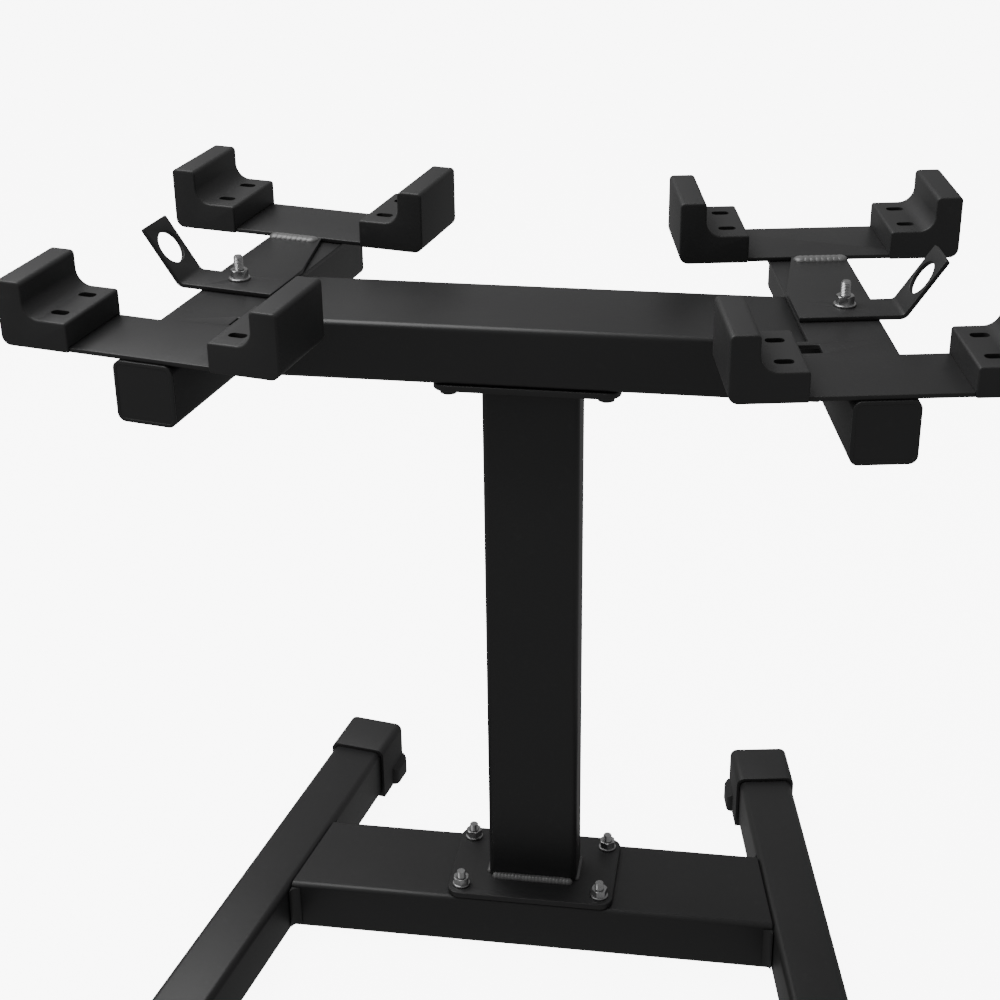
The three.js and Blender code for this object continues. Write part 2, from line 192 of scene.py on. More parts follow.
def powder_coat():
    made = Shader("black_powder_coat")
    cloud = made.noise(120, 2.0)
    grain = made.noise(1.6, 2.0)
    dust = made.noise(9, 5.0).above(0.66, 0.05)
    colour = made.blend(cloud * 0.7 + dust * 0.3, (0.014, 0.014, 0.0145), (0.024, 0.024, 0.0245))
    made.wear(colour, cloud * 0.10 + grain * 0.06 + 0.36)
    return made.bump(grain, 0.06, 0.5).material


def moulded_plastic():
    made = Shader("black_moulded_plastic")
    cloud = made.noise(60, 2.0)
    grain = made.noise(0.7, 2.0)
    scuff = made.noise(14, 6.0, (1, 0.3, 1)).above(0.68, 0.04)
    colour = made.blend(cloud * 0.6 + scuff * 0.4, (0.017, 0.017, 0.0175), (0.032, 0.032, 0.0325))
    made.wear(colour, grain * 0.08 + scuff * 0.05 + 0.50)
    return made.bump(grain, 0.05, 0.5).material


def zinc_plate():
    made = Shader("zinc_plate", metallic=1.0)
    cloud = made.noise(5, 3.0)
    streak = made.noise(1.2, 3.0, (1, 1, 0.2))
    made.wear(made.blend(cloud, (0.36, 0.36, 0.355), (0.60, 0.60, 0.61)), cloud * 0.15 + streak * 0.1 + 0.16)
    return made.bump(streak, 0.02, 0.4).material


def dark_screw():
    made = Shader("blackened_steel", metallic=1.0)
    cloud = made.noise(3, 3.0)
    made.wear(made.blend(cloud, (0.05, 0.05, 0.05), (0.10, 0.10, 0.10)), cloud * 0.2 + 0.35)
    return made.bump(cloud, 0.02, 0.4).material


def weld_with_painted_highlight():
    made = Shader("weld_with_painted_highlight", coat=0.3)
    cloud = made.noise(6, 4.0)
    # The bead is coated black like the frame. Its paler grey (0.09 to 0.17, against the coat's 0.014 to
    # 0.024) is painted highlight for the light that the ripples catch. The noise only varies that tone.
    made.wear(made.blend(cloud, (0.09, 0.09, 0.09), (0.17, 0.17, 0.17)), cloud * 0.15 + 0.25)
    return made.bump(made.noise(1.1, 3.0), 0.15, 0.6).material


def pale_floor():
    made = Shader("pale_floor")
    cloud = made.noise(700, 2.0)
    made.surface.inputs["Emission Color"].default_value = (1, 1, 1, 1)
    made.surface.inputs["Emission Strength"].default_value = 8.0
    return made.wear(made.blend(cloud, (0.90, 0.90, 0.90), (0.93, 0.93, 0.93)), cloud * 0.1 + 0.6).material


POWDER = powder_coat()
PLASTIC = moulded_plastic()
ZINC = zinc_plate()
SCREW = dark_screw()
WELD_PAINTED_HIGHLIGHT = weld_with_painted_highlight()

# ---- modelling ----


def only(obj):
    if bpy.context.object and bpy.context.object.mode != "OBJECT":
        bpy.ops.object.mode_set(mode="OBJECT")
    bpy.ops.object.select_all(action="DESELECT")
    obj.select_set(True)
    bpy.context.view_layer.objects.active = obj


def rest():
    bpy.ops.object.mode_set(mode="OBJECT")


def pick(obj, kind, test):
    """Edit mode, with the elements that pass the test selected.

    The test gets a vertex's place, both ends of an edge, or a face's centre and normal.
    """
    only(obj)
    mesh = obj.data
    for group in (mesh.vertices, mesh.edges, mesh.polygons):
        group.foreach_set("select", [False] * len(group))
    if kind == "VERT":
        for vertex in mesh.vertices:
            vertex.select = bool(test(vertex.co / MM))
    if kind == "EDGE":
        for edge in mesh.edges:
            first, second = (mesh.vertices[index].co / MM for index in edge.vertices)
            edge.select = bool(test(first, second))
    if kind == "FACE":
        for face in mesh.polygons:
            face.select = bool(test(face.center / MM, face.normal))
    bpy.context.tool_settings.mesh_select_mode = (kind == "VERT", kind == "EDGE", kind == "FACE")
    bpy.ops.object.mode_set(mode="EDIT")


def placed(obj, matrix):
    obj.matrix_world = matrix @ obj.matrix_world
    only(obj)
    bpy.ops.object.transform_apply(location=True, rotation=True, scale=True)
    return obj


def block(name, x, y, z):
    """A box over three ranges in millimetres."""
    bpy.ops.mesh.primitive_cube_add(size=1)
    made = bpy.context.object
    made.name = name
    made.scale = [(span[1] - span[0]) * MM for span in (x, y, z)]
    made.location = [(span[0] + span[1]) / 2 * MM for span in (x, y, z)]
    only(made)
    bpy.ops.object.transform_apply(location=True, rotation=True, scale=True)
    return made


def round_bar(name, diameter, bottom, top, sides=48):
    bpy.ops.mesh.primitive_cylinder_add(vertices=sides, radius=diameter / 2 * MM, depth=(top - bottom) * MM)
    made = bpy.context.object
    made.name = name
    return placed(made, Matrix.Translation((0, 0, (bottom + top) / 2 * MM)))


def extrude(obj, test, by):
    pick(obj, "FACE", test)
    bpy.ops.mesh.extrude_region_move(TRANSFORM_OT_translate={"value": Vector(by) * MM})
    rest()


def shift(obj, test, by):
    pick(obj, "VERT", test)
    bpy.ops.transform.translate(value=Vector(by) * MM)
    rest()


def bevel(obj, width, segments, test):
    pick(obj, "EDGE", test)
    bpy.ops.mesh.bevel(offset=width * MM, segments=segments, profile=0.5, affect="EDGES")
    rest()


def apply(obj, kind, **settings):
    only(obj)
    modifier = obj.modifiers.new(kind.lower(), kind)
    for key, setting in settings.items():
        setattr(modifier, key, setting)
    bpy.ops.object.modifier_apply(modifier=modifier.name)


def soften(obj, width, segments=3, angle=35):
    apply(
        obj, "BEVEL", width=width * MM, segments=segments, limit_method="ANGLE",
        angle_limit=math.radians(angle), use_clamp_overlap=True,
    )


def cut(obj, cutter):
    apply(obj, "BOOLEAN", operation="DIFFERENCE", solver="EXACT", object=cutter)
    bpy.data.objects.remove(cutter)


def outward(obj):
    pick(obj, "FACE", lambda centre, normal: True)
    bpy.ops.mesh.normals_make_consistent(inside=False)
    rest()


def finished(obj, material, angle=32):
    outward(obj)
    bpy.ops.object.shade_smooth_by_angle(angle=math.radians(angle))
    obj.data.materials.clear()
    obj.data.materials.append(material)
    return obj


def issue(obj, body, *nodes):
    """The piece moves with a body and stands for those CAD nodes."""
    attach(obj, body)
    if nodes:
        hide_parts(*nodes)


def twin(obj, name, matrix=Matrix.Identity(4)):
    only(obj)
    bpy.ops.object.duplicate()
    made = bpy.context.object
    made.name = name
    if made.data is obj.data:
        made.data = obj.data.copy()
    placed(made, matrix)
    outward(made)
    return made


MIRROR = Matrix.Scale(-1, 4, Vector((1, 0, 0)))


def pair(obj, body, *nodes):
    """The right-hand piece and its mirror image. {} stands for the hand."""
    base = obj.name
    obj.name = "right_" + base
    other = twin(obj, "left_" + base, MIRROR)
    for hand, piece in zip(HANDS, (obj, other)):
        issue(piece, body.format(hand), *[node.format(hand) for node in nodes])


def along(axis):
    """True for the long edges of a bar that runs along that axis."""
    others = [i for i in range(3) if i != axis]
    return lambda a, b: all(abs(a[i] - b[i]) < 0.01 for i in others) and abs(a[axis] - b[axis]) > 1


# ---- steel tube ----


def tube(name, x, y, z, axis, corner, ease=0.5):
    made = block(name, x, y, z)
    bevel(made, corner, 8, along(axis))
    soften(made, ease, 2, 60)
    return made


def mitred_bar(name, node, toe, corner):
    """A bar from left to right whose ends are cut to meet two toed-out members."""
    lowest, highest = low(node), high(node)
    span = highest.x / MM
    lean = math.tan(toe) * (highest.y - lowest.y) / MM
    y_range = (lowest.y / MM, highest.y / MM)
    made = block(name, (-span, span), y_range, (lowest.z / MM, highest.z / MM))
    centre = MIDDLE_Y / MM
    # The rear is narrower than the front, because the members lean inwards to the rear.
    shift(made, lambda p: p.x > 0 and p.y > centre, (-lean, 0, 0))
    shift(made, lambda p: p.x < 0 and p.y > centre, (lean, 0, 0))
    bevel(made, corner, 8, lambda a, b: a.x * b.x < 0)
    soften(made, 0.4, 2, 60)
    return finished(made, POWDER)


FOOT_TOE = math.atan2(-FOOT.col[1].x, FOOT.col[1].y)
SPINE_TOE = math.atan2(-SPINE_AXIS.x, SPINE_AXIS.y)
issue(mitred_bar("cross_tube", "base_crossbar", FOOT_TOE, 5), "frame", "base_crossbar")
issue(mitred_bar("beam_tube", "beam", SPINE_TOE, 5), "frame", "beam")

post_low, post_high = low("column") / MM, high("column") / MM
post = tube("post", *[(post_low[i], post_high[i]) for i in range(3)], 2, 6)
issue(finished(post, POWDER), "frame", "column")


def flange(name, node):
    lowest, highest = low(node) / MM, high(node) / MM
    made = block(name, *[(lowest[i], highest[i]) for i in range(3)])
    bevel(made, 12, 10, along(2))
    soften(made, 0.8, 3, 50)
    issue(finished(made, POWDER), "frame", node)


flange("lower_flange", "column_base_flange")
flange("upper_flange", "column_top_flange")

foot_z = (low("right_foot_tube").z / MM, high("right_foot_tube").z / MM)
foot_span = (FOOT_FRONT + CAP_WALL + GAP, FOOT_REAR - CAP_WALL - GAP)
foot = tube("foot", (-TUBE_HALF, TUBE_HALF), foot_span, foot_z, 1, 6)
pair(placed(finished(foot, POWDER), FOOT), "frame", "{}_foot_tube")

SPINE_FRONT, SPINE_REAR, SPINE_CORNER, END_PLATE = -155, 200, 7, 2
CLAMP_HOLE, CARRIAGE_TRAVEL = THREAD + 1, 20


def clamp_slot():
    """The slot that a clamp bolt slides along, in the cradle's frame."""
    half, top = CLAMP_HOLE / 2, BEAM_TOP / MM
    x = (CLAMP_U - half, CLAMP_U + half)
    y = (CLAMP_V - half, CLAMP_V + half + CARRIAGE_TRAVEL)
    made = block("clamp_slot", x, y, (top - 10, top + 10))
    bevel(made, half - 0.2, 8, along(2))
    return made


spine_z = (low("right_spine_tube").z / MM, high("right_spine_tube").z / MM)
spine_span = (SPINE_FRONT + END_PLATE + GAP, SPINE_REAR - END_PLATE - GAP)
spine = tube("spine", (-TUBE_HALF, TUBE_HALF), spine_span, spine_z, 1, SPINE_CORNER)
inside_half = TUBE_HALF - TUBE_WALL
spine_inside = block(
    "spine_inside", (-inside_half, inside_half), (SPINE_FRONT - 5, SPINE_REAR + 5),
    (spine_z[0] + TUBE_WALL, spine_z[1] - TUBE_WALL),
)
bevel(spine_inside, SPINE_CORNER - TUBE_WALL, 6, along(1))
cut(spine, spine_inside)
cut(spine, clamp_slot())
pair(placed(finished(spine, POWDER), CRADLE), "frame", "{}_spine_tube")


def end_plate(name, front, outer_face):
    """A plate welded into the spine's end, with a softly rounded rim and a shallow dished face."""
    made = block(name, (-TUBE_HALF, TUBE_HALF), (front, front + END_PLATE), spine_z)
    bevel(made, SPINE_CORNER, 8, along(1))
    pick(made, "FACE", lambda centre, normal: normal.y * outer_face > 0.9)
    bpy.ops.mesh.inset(thickness=2.6 * MM, depth=0)
    bpy.ops.mesh.inset(thickness=0.5 * MM, depth=-0.4 * MM)
    rest()
    soften(made, 0.5, 3, 50)
    return placed(finished(made, POWDER), CRADLE)


pair(end_plate("spine_front_plug", SPINE_FRONT, -1), "frame", "{}_spine_front_end_plate")
pair(end_plate("spine_rear_plug", SPINE_REAR - END_PLATE, 1), "frame", "{}_spine_rear_end_plate")


# ---- feet ----

CAP_HALF, CAP_LENGTH, PAD_LENGTH, PAD_HEIGHT, PAD_REACH = 28, 54, 30, 20, 5
CAP_SETBACK = 0.15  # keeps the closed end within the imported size


def foot_cap(name):
    """A moulded sleeve with its closed end at y = 0 and its mouth towards -Y, on a flared pad."""
    made = block(name, (-CAP_HALF, CAP_HALF), (-PAD_LENGTH, -CAP_SETBACK), (0, PAD_HEIGHT))
    extrude(made, lambda centre, normal: normal.z > 0.9, (0, 0, 2 * CAP_HALF - PAD_HEIGHT))
    extrude(made, lambda centre, normal: normal.y < -0.9, (0, PAD_LENGTH - CAP_LENGTH, 0))
    for side in (-1, 1):
        extrude(
            made,
            lambda centre, normal: normal.x * side > 0.9 and centre.z < PAD_HEIGHT and centre.y > -PAD_LENGTH,
            (side * PAD_REACH, 0, 0),
        )
    # The pad's shoulder slopes, so that it flares out towards the floor.
    shift(made, lambda p: abs(p.x) > 30 and p.z > 10, (0, 0, -5))
    bevel(made, 6, 6, lambda a, b: along(2)(a, b) and abs(a.x) > 30)
    bevel(made, 7, 6, lambda a, b: along(1)(a, b) and a.z > 50)
    bevel(made, 3, 4, lambda a, b: a.z > 12 and b.z > 12 and a.y > -0.3 and b.y > -0.3)
    pick(made, "FACE", lambda centre, normal: normal.y < -0.9 and centre.y < -50)
    bpy.ops.mesh.inset(thickness=2.6 * MM, depth=0)
    rest()
    half, floor_thick = TUBE_HALF + GAP, CAP_WALL - GAP
    bore = block("bore", (-half, half), (-60, -CAP_WALL), (floor_thick, 2 * CAP_HALF - floor_thick))
    bevel(bore, 6, 8, along(1))
    cut(made, bore)
    soften(made, 0.8, 3, 40)
    return finished(made, PLASTIC)


rear_cap = foot_cap("rear_foot_cap")
front_cap = twin(rear_cap, "front_foot_cap", Matrix.Rotation(math.pi, 4, "Z"))
pair(placed(rear_cap, FOOT @ Matrix.Translation((0, FOOT_REAR * MM, 0))), "frame", "{}_foot_rear_cap")
pair(placed(front_cap, FOOT @ Matrix.Translation((0, FOOT_FRONT * MM, 0))), "frame", "{}_foot_front_cap")

# ---- cradle plates ----

FRONT_EDGE, PLATE_REAR, TAB_REAR, TAB_REACH = -153, -79, -50, 14
TONGUE_INNER, TONGUE_OUTER, TONGUE_REAR = -38, 25, 190
REAR_PLATE_FRONT, REAR_PLATE_REAR = 126, 200
PLATE_LEFT, PLATE_RIGHT = CRADLE_X - 90, CRADLE_X + 90


def front_cross_plate():
    z = (BEAM_TOP / MM + GAP, PLATE_TOP / MM)
    made = block("front_plate", (TONGUE_INNER, TONGUE_OUTER), (TAB_REAR, TONGUE_REAR), z)
    extrude(made, lambda c, n: n.y < -0.9, (0, PLATE_REAR - TAB_REAR, 0))
    extrude(made, lambda c, n: n.y < -0.9, (0, FRONT_EDGE - PLATE_REAR, 0))
    extrude(made, lambda c, n: n.x > 0.9 and c.y < PLATE_REAR, (PLATE_RIGHT - TONGUE_OUTER, 0, 0))
    extrude(made, lambda c, n: n.x < -0.9 and c.y < PLATE_REAR, (PLATE_LEFT - TONGUE_INNER, 0, 0))
    extrude(made, lambda c, n: n.x < -0.9 and PLATE_REAR < c.y < TAB_REAR and c.x > -40, (-TAB_REACH, 0, 0))
    cut(made, block("window", (-49, -31), (-73, -57), (z[0] - 9, z[1] + 9)))
    cut(made, clamp_slot())
    soften(made, 0.7, 3, 50)
    return placed(finished(made, POWDER), CRADLE)


def rear_cross_plate():
    z = (PLATE_TOP / MM + GAP, CARRIAGE_TOP / MM)
    made = block("rear_plate", (PLATE_LEFT, PLATE_RIGHT), (REAR_PLATE_FRONT, REAR_PLATE_REAR), z)
    bevel(made, 3, 4, along(2))
    soften(made, 0.7, 3, 50)
    return placed(finished(made, POWDER), CRADLE)


pair(front_cross_plate(), "frame", "{}_front_cross_plate")
pair(rear_cross_plate(), "{}_carriage", "{}_rear_cross_plate")

ARM_BEND, ARM_ANGLE, ARM_LENGTH, ARM_FOLD, SHEET = 5, math.radians(56), 50, 40, 3.7
ARM_FRONT, ARM_REAR, ARM_FACETS, ARM_HOLE, ARM_HOLE_AT = -12, 25, 8, 28, 26
TAPER_FROM, TAPER_IN = 48, 18


def side_bracket():
    bottom = PLATE_TOP / MM + GAP
    z = (bottom, bottom + SHEET)
    made = block("bracket", (TONGUE_INNER, TONGUE_OUTER), (ARM_FRONT, ARM_REAR), z)
    extrude(made, lambda c, n: n.y > 0.9, (0, TAPER_FROM - ARM_REAR, 0))
    extrude(made, lambda c, n: n.y > 0.9, (0, REAR_PLATE_FRONT - GAP - TAPER_FROM, 0))
    shift(made, lambda p: p.y > 100 and p.x < 0, (TAPER_IN, 0, 0))
    extrude(made, lambda c, n: n.x > 0.9 and c.y < ARM_REAR, (ARM_FOLD - TONGUE_OUTER, 0, 0))
    # The fold is a run of short facets, each turned a little further about the bend's centre.
    arm_middle = (ARM_REAR + ARM_FRONT) / 2
    pivot = Vector((ARM_FOLD, arm_middle, z[1] + ARM_BEND)) * MM
    for step in range(ARM_FACETS):
        turned = ARM_ANGLE * step / ARM_FACETS
        facing = Vector((math.cos(turned), 0, math.sin(turned)))
        pick(made, "FACE", lambda c, n: n.dot(facing) > 0.999 and c.x > ARM_FOLD - 0.1)
        bpy.ops.mesh.extrude_region_move(TRANSFORM_OT_translate={"value": (0, 0, 0)})
        bpy.ops.transform.rotate(value=ARM_ANGLE / ARM_FACETS, orient_axis="Y", center_override=pivot)
        rest()
    reach = Vector((math.cos(ARM_ANGLE), 0, math.sin(ARM_ANGLE)))
    extrude(made, lambda c, n: n.dot(reach) > 0.999, reach * ARM_LENGTH)
    bevel(made, 1.8, 4, lambda a, b: min(a.z, b.z) > bottom + 40 and abs(a.y - b.y) < 0.01)
    middle_radius = ARM_BEND + SHEET / 2
    end = ARM_ANGLE - math.pi / 2
    hole = round_bar("hole", ARM_HOLE, -20, 20, 64)
    at = Vector((
        ARM_FOLD + middle_radius * math.cos(end) + ARM_HOLE_AT * math.cos(ARM_ANGLE),
        arm_middle,
        z[1] + ARM_BEND + middle_radius * math.sin(end) + ARM_HOLE_AT * math.sin(ARM_ANGLE),
    ))
    cut(made, placed(hole, Matrix.Translation(at * MM) @ Matrix.Rotation(-ARM_ANGLE, 4, "Y")))
    bolt_hole = round_bar("bolt_hole", CLAMP_HOLE, bottom - 5, bottom + 15, 40)
    cut(made, placed(bolt_hole, Matrix.Translation((CLAMP_U * MM, CLAMP_V * MM, 0))))
    soften(made, 0.6, 3, 50)
    return placed(finished(made, POWDER), CRADLE)


pair(side_bracket(), "{}_carriage", "{}_side_bracket")

# ---- saddles ----

SEAT, SADDLE_WALL, STEP_REACH, SADDLE_TOP, STEP_TOP = 95, 22, 36, 48.5, 20
SADDLE_DEPTH, SADDLE_SKIRT, SLOT_AT, SLOT_GAP, LEDGE = 80, 1.7, 75, 20, 9
SLOT_LENGTH, SLOT_WIDTH, SHANK_SLOT_LENGTH, SHANK_SLOT_WIDTH = 14.5, 8.6, 12, 5.6
SCREW_HEAD, SCREW_SHANK, SCREW_SOCKET = 7, 4, 3.5


def slot_cutter(length, width, bottom, top, y):
    x_range = (SLOT_AT - length / 2, SLOT_AT + length / 2)
    made = block("slot", x_range, (y - width / 2, y + width / 2), (bottom, top))
    bevel(made, width / 2 - 0.6, 6, along(2))
    return made


def saddle():
    """A saddle that locates the outer side of a tray, over the end of a cross plate whose top is at z = 0."""
    half = SADDLE_DEPTH / 2
    made = block("saddle", (SEAT - STEP_REACH, SEAT), (-half, half), (-4, STEP_TOP))
    extrude(made, lambda c, n: n.x > 0.9, (SADDLE_WALL, 0, 0))
    extrude(made, lambda c, n: n.z > 0.9 and c.x > SEAT, (0, 0, SADDLE_TOP - STEP_TOP))
    outside = SEAT + SADDLE_WALL
    run = along(1)
    bevel(made, 13, 12, lambda a, b: run(a, b) and abs(a.x - SEAT) < 0.1 and abs(a.z - STEP_TOP) < 0.1)
    bevel(made, 8, 8, lambda a, b: run(a, b) and abs(a.x - outside) < 0.1 and a.z < 0)
    bevel(made, 3.6, 7, lambda a, b: run(a, b) and a.z > SADDLE_TOP - 0.1)
    bevel(made, 2.4, 5, lambda a, b: run(a, b) and a.x < SEAT - STEP_REACH + 0.1 and a.z > 10)
    soften(made, 1.6, 5, 50)
    skirt = half - SADDLE_SKIRT
    cut(made, block("pocket", (SEAT - STEP_REACH - 5, SEAT), (-skirt, skirt), (-9, 0.3)))
    for y in (-SLOT_GAP, SLOT_GAP):
        cut(made, slot_cutter(SLOT_LENGTH, SLOT_WIDTH, LEDGE, STEP_TOP + 5, y))
        cut(made, slot_cutter(SHANK_SLOT_LENGTH, SHANK_SLOT_WIDTH, -5, LEDGE + 2, y))
    return finished(made, PLASTIC)


def cap_screw():
    """A socket-head screw that stands on the ledge inside a saddle's slot."""
    made = round_bar("screw", SCREW_HEAD, LEDGE + 0.2, LEDGE + 4.2, 40)
    cut(made, round_bar("socket", SCREW_SOCKET, LEDGE + 1.8, LEDGE + 8, 6))
    shank = round_bar("shank", SCREW_SHANK, -4.5, LEDGE + 1, 24)
    apply(made, "BOOLEAN", operation="UNION", solver="EXACT", object=shank)
    bpy.data.objects.remove(shank)
    soften(made, 0.35, 2, 40)
    return finished(made, SCREW)


saddle_shape = saddle()
screw_shape = cap_screw()
for end, level in (("front", PLATE_TOP), ("rear", CARRIAGE_TOP)):
    for side, turn in (("inner", math.pi), ("outer", 0)):
        name = f"{end}_{side}_saddle"
        seat = (mounts[f"seat_right_{end}_inner"] + mounts[f"seat_right_{end}_outer"]) / 2
        seat.z = level
        where = axes(seat, SPINE_AXIS) @ Matrix.Rotation(turn, 4, "Z")
        body = "frame" if end == "front" else "{}_carriage"
        pair(twin(saddle_shape, name + "_shape", where), "{}_" + name, "{}_" + name)
        for y, which in ((-SLOT_GAP, "a"), (SLOT_GAP, "b")):
            at = where @ Matrix.Translation((SLOT_AT * MM, y * MM, 0))
            pair(twin(screw_shape, f"{name}_screw_{which}", at), body)
bpy.data.objects.remove(saddle_shape)
bpy.data.objects.remove(screw_shape)

# ---- fasteners, made round the Z axis with the seating face at z = 0 ----


def hex_nut(name, across, height, bore, skirt=0, finish=ZINC):
    made = round_bar(name, across * 2 / math.sqrt(3), 0, height, 6)
    dome = round_bar("dome", across * 1.14, 0, height, 64)
    bevel(dome, across * 0.075, 4, lambda a, b: a.z > height - 0.01 and b.z > height - 0.01)
    apply(made, "BOOLEAN", operation="INTERSECT", solver="EXACT", object=dome)
    bpy.data.objects.remove(dome)
    if skirt:
        flare = round_bar("flare", skirt, 0, WASHER_THICK, 48)
        bevel(flare, 0.8, 3, lambda a, b: a.z > 1.5 and b.z > 1.5)
        apply(made, "BOOLEAN", operation="UNION", solver="EXACT", object=flare)
        bpy.data.objects.remove(flare)
    if bore:
        cut(made, round_bar("bore", bore, -5, height + 5, 40))
    soften(made, 0.25, 2, 40)
    return finished(made, finish, 25)


def threaded_rod(name, diameter, bottom, top, pitch):
    """A rod whose thread is cut as close rings, with a chamfered tip."""
    made = round_bar(name, diameter, bottom, bottom + 0.5, 32)
    height = bottom + 0.5
    crest, root, tip = 1.0, 0.86, 0.88
    scale = crest
    while height < top - 1.2:
        pick(made, "FACE", lambda c, n: n.z > 0.9 and c.z > height - 0.01)
        target = root if scale == crest else crest
        bpy.ops.mesh.extrude_region_move(TRANSFORM_OT_translate={"value": (0, 0, pitch / 2 * MM)})
        factor = target / scale
        bpy.ops.transform.resize(value=(factor, factor, 1), center_override=(0, 0, 0))
        rest()
        scale = target
        height += pitch / 2
    pick(made, "FACE", lambda c, n: n.z > 0.9 and c.z > height - 0.01)
    bpy.ops.mesh.extrude_region_move(TRANSFORM_OT_translate={"value": (0, 0, (top - height) * MM)})
    bpy.ops.transform.resize(value=(tip, tip, 1), center_override=(0, 0, 0))
    rest()
    return finished(made, ZINC)


CORNERS = ("front_left", "front_right", "rear_left", "rear_right")
stud_bottom = (BASE_TOP - TUBE_WALL * MM - COLUMN_FOOT) / MM
stud_top = (high("base_stud_front_left").z - COLUMN_FOOT) / MM
stud_shape = threaded_rod("stud", THREAD, stud_bottom, stud_top, THREAD_PITCH)
nut_shape = hex_nut("flange_nut", HEX_ACROSS, WASHER_THICK + 6.5, NUT_BORE, WASHER)
for corner in CORNERS:
    at = middle(f"base_nut_{corner}")
    at.z = COLUMN_FOOT
    where = Matrix.Translation(at) @ Matrix.Rotation(math.radians(17 + 41 * len(corner)), 4, "Z")
    issue(twin(nut_shape, f"flange_nut_{corner}", where), "frame", f"base_nut_{corner}")
    issue(twin(stud_shape, f"stud_{corner}", where), "frame", f"base_stud_{corner}")
bpy.data.objects.remove(nut_shape)
bpy.data.objects.remove(stud_shape)

head_shape = hex_nut("bolt_head", HEX_ACROSS, HEAD_HEIGHT, 0, finish=POWDER)
washer_shape = round_bar("washer", WASHER, 0, WASHER_THICK, 48)
soften(washer_shape, 0.4, 2, 50)
finished(washer_shape, POWDER)
for corner in CORNERS:
    at = middle(f"beam_bolt_{corner}")
    at.z = COLUMN_TOP
    under = Matrix.Translation(at) @ Matrix.Rotation(math.pi, 4, "X")
    issue(twin(washer_shape, f"beam_washer_{corner}", under), "frame")
    issue(twin(head_shape, f"beam_bolt_head_{corner}", under), "frame", f"beam_bolt_{corner}")
bpy.data.objects.remove(head_shape)
bpy.data.objects.remove(washer_shape)

CLAMP_NUT_HEIGHT, CLAMP_FLANGE, CLAMP_ROD_FOOT = 8, 17.9, -12
clamp_top = (high("right_clamp_bolt").z - CARRIAGE_TOP) / MM
clamp_at = Matrix.Translation(Vector((CLAMP_POINT.x, CLAMP_POINT.y, CARRIAGE_TOP)))
clamp_nut = hex_nut("clamping_nut", HEX_ACROSS, CLAMP_NUT_HEIGHT, NUT_BORE, CLAMP_FLANGE)
placed(clamp_nut, Matrix.Translation((0, 0, GAP * MM)))
clamp_rod = threaded_rod("clamping_bolt", THREAD, CLAMP_ROD_FOOT, clamp_top, THREAD_PITCH)
pair(placed(clamp_nut, clamp_at @ Matrix.Rotation(math.radians(20), 4, "Z")), "{}_clamp_nut", "{}_clamp_nut")
pair(placed(clamp_rod, clamp_at), "{}_carriage", "{}_clamp_bolt")
head_z = BEAM_TOP - (TUBE_WALL + GAP) * MM
clamp_head_at = Matrix.Translation(Vector((CLAMP_POINT.x, CLAMP_POINT.y, head_z)))
clamp_head = hex_nut("clamping_head", HEX_ACROSS, HEAD_HEIGHT, 0)
pair(placed(clamp_head, clamp_head_at @ Matrix.Rotation(math.pi, 4, "X")), "{}_carriage")

# ---- weld beads ----


def bead(name, start, end, width, height, matrix=Matrix.Identity(4)):
    """A run of overlapping ripples from one point to another, in millimetres."""
    start, end = Vector(start), Vector(end)
    length = (end - start).length
    step = width * 0.42
    count = max(2, int(length / step))
    bpy.ops.mesh.primitive_uv_sphere_add(segments=20, ring_count=12, radius=0.5 * MM)
    made = bpy.context.object
    made.name = name
    made.scale = (width * 0.95, width, height * 2)
    only(made)
    bpy.ops.object.transform_apply(location=True, rotation=True, scale=True)
    apply(
        made, "ARRAY", count=count, use_relative_offset=False, use_constant_offset=True,
        constant_offset_displace=((length - width) / (count - 1) * MM, 0, 0),
    )
    turn = Vector((1, 0, 0)).rotation_difference((end - start).normalized()).to_matrix().to_4x4()
    inset = (end - start).normalized() * width / 2
    placed(made, matrix @ Matrix.Translation((start + inset) * MM) @ turn)
    return finished(made, WELD_PAINTED_HIGHLIGHT, 60)


front_y, rear_y = low("column").y / MM, high("column").y / MM
left_x, right_x = low("column").x / MM, high("column").x / MM
weld_z = COLUMN_FOOT / MM
for side, start, end, width, height in (
    ("front", (left_x + 3, front_y - 1), (right_x - 3, front_y - 1), 8, 4),
    ("rear", (left_x + 3, rear_y), (right_x - 3, rear_y), 5, 2.6),
    ("left", (left_x, front_y + 3), (left_x, rear_y - 3), 5, 2.6),
    ("right", (right_x, front_y + 3), (right_x, rear_y - 3), 5, 2.6),
):
    issue(bead(f"post_{side}_weld", (*start, weld_z), (*end, weld_z), width, height), "frame")

SEAM_Y = 118.5
seam_z = CARRIAGE_TOP / MM - 0.5
seam = bead("bracket_weld", (-20, SEAM_Y, seam_z), (26, SEAM_Y, seam_z), 13, 3.4, CRADLE)
pair(seam, "{}_carriage")


def corner_fillet(name, x, y, z, radius, turn):
    """A concave run of weld that fills the upright corner between two tubes."""
    made = block(name, (0, radius), (-radius, 0), z)
    hollow = round_bar("hollow", 2 * radius, z[0] - 5, z[1] + 5, 48)
    cut(made, placed(hollow, Matrix.Translation((radius * MM, -radius * MM, 0))))
    where = Matrix.Translation((x * MM, y * MM, 0)) @ Matrix.Rotation(turn, 4, "Z")
    return placed(finished(made, POWDER, 40), where)


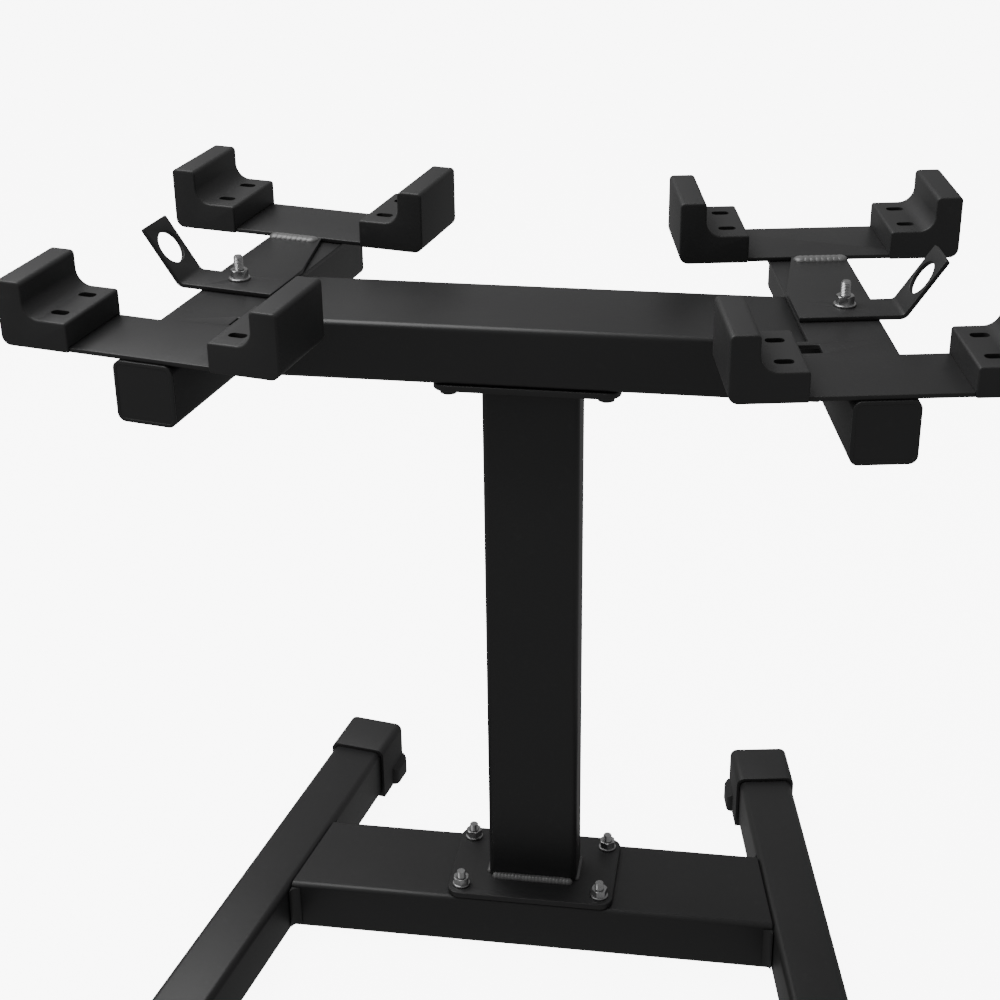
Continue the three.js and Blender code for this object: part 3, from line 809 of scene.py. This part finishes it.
base_z = (foot_z[0] + 5, foot_z[1] - 4.5)
inside = high("base_crossbar").x / MM - 0.2
half_lean = math.tan(FOOT_TOE) * 50  # over half of the crossbar, front to rear
for which, y, x, turn in (
    ("front", low("base_crossbar").y / MM, inside, -math.pi / 2),
    ("rear", high("base_crossbar").y / MM, inside - 2 * half_lean, math.pi),
):
    turn += FOOT_TOE / 2
    pair(corner_fillet(f"foot_{which}_fillet", x, y, base_z, 8, turn), "frame")

# ---- setting ----

bpy.ops.mesh.primitive_plane_add(size=14, location=(0, 0, 0))
floor = bpy.context.object
floor.name = "floor"
floor.data.materials.append(pale_floor())
# The floor is bright to the eye but throws no light up at the steel.
floor.visible_diffuse = False
floor.visible_glossy = False

world = bpy.data.worlds.new("studio")
bpy.context.scene.world = world
world.use_nodes = True
world.node_tree.nodes["Background"].inputs["Color"].default_value = (1, 1, 1, 1)
world.node_tree.nodes["Background"].inputs["Strength"].default_value = 0.28


def soft_light(name, location, size, power):
    data = bpy.data.lights.new(name, "AREA")
    data.shape = "RECTANGLE"
    data.size, data.size_y = size
    data.energy = power
    lamp = bpy.data.objects.new(name, data)
    lamp.location = location
    lamp.rotation_euler = (Vector((0, 0, 0.45)) - Vector(location)).to_track_quat("-Z", "Y").to_euler()
    bpy.context.scene.collection.objects.link(lamp)


soft_light("overhead_light", (-1.0, 0.3, 2.6), (2.2, 1.8), 60)
soft_light("side_light", (-2.4, -1.4, 1.4), (1.4, 1.4), 7)

camera_data = bpy.data.cameras.new("camera")
camera_data.sensor_width = 36
camera_data.lens = 69.1
camera = bpy.data.objects.new("camera", camera_data)
yaw, pitch, roll = (math.radians(angle) for angle in (9.05, 26.81, -0.73))
ahead = Vector((-math.sin(yaw) * math.cos(pitch), math.cos(yaw) * math.cos(pitch), -math.sin(pitch)))
level = Vector((math.cos(yaw), math.sin(yaw), 0))
upright = level.cross(ahead)
right = level * math.cos(roll) + upright * math.sin(roll)
top = upright * math.cos(roll) - level * math.sin(roll)
camera.matrix_world = Matrix.Translation((0.1968, MIDDLE_Y - 1.4156, BEAM_TOP + 0.5506)) @ (
    Matrix((right, top, -ahead)).transposed().to_4x4()
)
bpy.context.scene.collection.objects.link(camera)
bpy.context.scene.camera = camera
